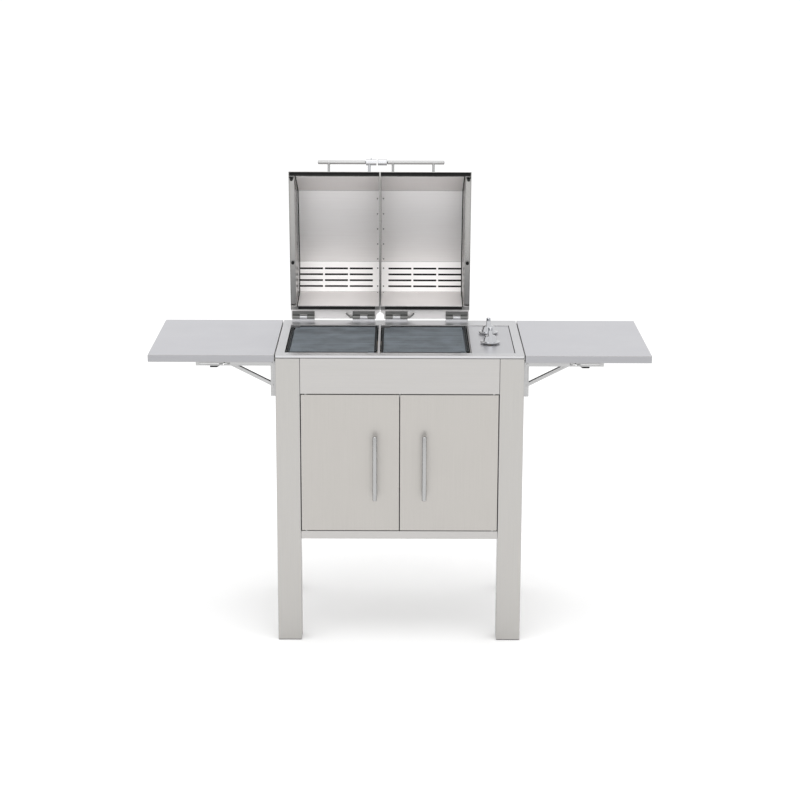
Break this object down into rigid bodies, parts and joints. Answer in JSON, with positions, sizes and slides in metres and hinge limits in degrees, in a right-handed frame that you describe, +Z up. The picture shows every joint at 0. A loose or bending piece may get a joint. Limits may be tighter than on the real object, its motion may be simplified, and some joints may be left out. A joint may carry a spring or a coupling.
{
  "type": "gas barbecue grill",
  "caption": "Free-standing gas barbecue on a legged steel cabinet, with hinged lids over ribbed hotplates, a control panel, folding side shelves and cupboard doors.",
  "frame": {"origin": "on the floor under the middle of the bounding box", "axes": "+X to the right seen from the front, +Y towards the back, +Z up"},
  "size_m": [1.516, 0.6979, 1.4388],
  "materials": {
    "frame_steel": "brushed stainless sheet",
    "door_steel": "brushed stainless sheet, grain across",
    "shelf_steel": "brushed stainless sheet",
    "lid_steel": "brushed stainless sheet",
    "liner_steel": "bright annealed stainless sheet",
    "panel_steel": "brushed stainless sheet",
    "inner_steel": "plain stainless sheet",
    "hinge_steel": "coarse brushed stainless",
    "bracket_steel": "satin stainless",
    "handle_steel": "satin stainless bar",
    "chrome": "polished chrome",
    "plate_iron": "blue-grey enamelled cast iron",
    "rubber": "black heat-resistant rubber",
    "plastic": "moulded black nylon",
    "brass": "turned brass"
  },
  "bodies": {
    "cabinet": {"front_leg_left": "frame_steel", "front_leg_right": "frame_steel", "rear_leg_left": "frame_steel", "rear_leg_right": "frame_steel", "foot_caps": "plastic", "fascia": "frame_steel", "bottom_rail": "frame_steel", "side_panel_left": "frame_steel", "side_panel_right": "frame_steel", "back_panel": "frame_steel", "cabinet_floor": "frame_steel", "top_frame": "frame_steel", "control_panel": "panel_steel", "plate_divider": "frame_steel", "firebox": "inner_steel", "burner_front": "inner_steel", "burner_rear": "inner_steel", "gas_manifold": "brass", "gas_valves": "brass", "hinge_leaves": "hinge_steel", "bracket_plates": "bracket_steel", "door_fittings": "bracket_steel"},
    "lid_left": {"lid_skin_left": "lid_steel", "lid_liner_left": "liner_steel", "lid_ends_left": "lid_steel", "lid_gasket_left": "rubber", "lid_rivets_left": "hinge_steel", "lid_leaves_left": "hinge_steel", "lid_handle_left": "handle_steel", "handle_collar_left": "chrome"},
    "lid_right": {"lid_skin_right": "lid_steel", "lid_liner_right": "liner_steel", "lid_ends_right": "lid_steel", "lid_gasket_right": "rubber", "lid_rivets_right": "hinge_steel", "lid_leaves_right": "hinge_steel", "lid_handle_right": "handle_steel", "handle_collar_right": "chrome"},
    "link_bolt": {"link_bolt": "handle_steel"},
    "hinge_pin_left": {"hinge_pin_left": "hinge_steel"},
    "hinge_pin_right": {"hinge_pin_right": "hinge_steel"},
    "hotplate_left": {"hotplate_left": "plate_iron"},
    "hotplate_right": {"hotplate_right": "plate_iron"},
    "drip_tray": {"drip_tray": "inner_steel"},
    "door_left": {"door_left": "door_steel", "door_handle_left": "handle_steel"},
    "door_right": {"door_right": "door_steel", "door_handle_right": "handle_steel"},
    "shelf_left": {"shelf_left": "shelf_steel", "shelf_arms_left": "bracket_steel"},
    "shelf_right": {"shelf_right": "shelf_steel", "shelf_arms_right": "bracket_steel"},
    "braces_left": {"braces_left": "bracket_steel"},
    "braces_right": {"braces_right": "bracket_steel"},
    "release_levers_left": {"release_levers_left": "plastic"},
    "release_levers_right": {"release_levers_right": "plastic"},
    "stem_front": {"stem_front": "handle_steel"},
    "stem_rear": {"stem_rear": "handle_steel"},
    "knob_front": {"knob_front": "chrome"},
    "knob_rear": {"knob_rear": "chrome"}
  },
  "joints": [
    {"name": "lid_left_hinge", "type": "hinge", "parent": "cabinet", "child": "lid_left", "pos_m": [-0.20825, 0.17303, 0.923], "axis": [-1, 0, 0], "range_deg": [-83, 0]},
    {"name": "lid_right_hinge", "type": "hinge", "parent": "cabinet", "child": "lid_right", "pos_m": [0.08025, 0.17303, 0.923], "axis": [-1, 0, 0], "range_deg": [-83, 0]},
    {"name": "link_bolt_slide", "type": "slide", "parent": "lid_left", "child": "link_bolt", "axis": [1, 0, 0], "range_m": [0, 0.012]},
    {"name": "hinge_pin_left_pull", "type": "slide", "parent": "lid_left", "child": "hinge_pin_left", "axis": [-1, 0, 0], "range_m": [0, 0.075]},
    {"name": "hinge_pin_right_pull", "type": "slide", "parent": "lid_right", "child": "hinge_pin_right", "axis": [1, 0, 0], "range_m": [0, 0.075]},
    {"name": "hotplate_left_lift", "type": "slide", "parent": "cabinet", "child": "hotplate_left", "axis": [0, 0, 1], "range_m": [0, 0.1]},
    {"name": "hotplate_right_lift", "type": "slide", "parent": "cabinet", "child": "hotplate_right", "axis": [0, 0, 1], "range_m": [0, 0.1]},
    {"name": "drip_tray_slide", "type": "slide", "parent": "cabinet", "child": "drip_tray", "axis": [0, 1, 0], "range_m": [0, 0.36]},
    {"name": "door_left_hinge", "type": "hinge", "parent": "cabinet", "child": "door_left", "pos_m": [-0.285, -0.30497, 0.573], "axis": [0, 0, -1], "range_deg": [0, 100]},
    {"name": "door_right_hinge", "type": "hinge", "parent": "cabinet", "child": "door_right", "pos_m": [0.285, -0.30497, 0.573], "axis": [0, 0, 1], "range_deg": [0, 100]},
    {"name": "shelf_left_fold", "type": "hinge", "parent": "cabinet", "child": "shelf_left", "pos_m": [-0.385, -0.06197, 0.878], "axis": [0, -1, 0], "range_deg": [0, 90]},
    {"name": "shelf_right_fold", "type": "hinge", "parent": "cabinet", "child": "shelf_right", "pos_m": [0.385, -0.06197, 0.878], "axis": [0, 1, 0], "range_deg": [0, 90]},
    {"name": "braces_left_swing", "type": "hinge", "parent": "cabinet", "child": "braces_left", "pos_m": [-0.385, -0.06197, 0.81], "axis": [0, -1, 0], "range_deg": [0, 117]},
    {"name": "braces_right_swing", "type": "hinge", "parent": "cabinet", "child": "braces_right", "pos_m": [0.385, -0.06197, 0.81], "axis": [0, 1, 0], "range_deg": [0, 117]},
    {"name": "release_levers_left_press", "type": "hinge", "parent": "shelf_left", "child": "release_levers_left", "pos_m": [-0.533, -0.06197, 0.874], "axis": [0, 1, 0], "range_deg": [0, 20], "stiffness_Nm_per_rad": 0.15, "springref_deg": -22.92},
    {"name": "release_levers_right_press", "type": "hinge", "parent": "shelf_right", "child": "release_levers_right", "pos_m": [0.533, -0.06197, 0.874], "axis": [0, -1, 0], "range_deg": [0, 20], "stiffness_Nm_per_rad": 0.15, "springref_deg": -22.92},
    {"name": "knob_front_turn", "type": "hinge", "parent": "cabinet", "child": "stem_front", "pos_m": [0.279, -0.13497, 0.898], "axis": [0, 0, 1], "range_deg": [0, 180]},
    {"name": "knob_front_push", "type": "slide", "parent": "stem_front", "child": "knob_front", "axis": [0, 0, -1], "range_m": [0, 0.003], "stiffness_N_per_m": 1500, "springref_m": -0.005},
    {"name": "knob_rear_turn", "type": "hinge", "parent": "cabinet", "child": "stem_rear", "pos_m": [0.279, 0.00503, 0.898], "axis": [0, 0, 1], "range_deg": [0, 180]},
    {"name": "knob_rear_push", "type": "slide", "parent": "stem_rear", "child": "knob_rear", "axis": [0, 0, -1], "range_m": [0, 0.003], "stiffness_N_per_m": 1500, "springref_m": -0.005}
  ],
  "couplings": [
    {"joint": "braces_left_swing", "follows": "shelf_left_fold", "ratio": 1.2995},
    {"joint": "braces_right_swing", "follows": "shelf_right_fold", "ratio": 1.2995}
  ]
}
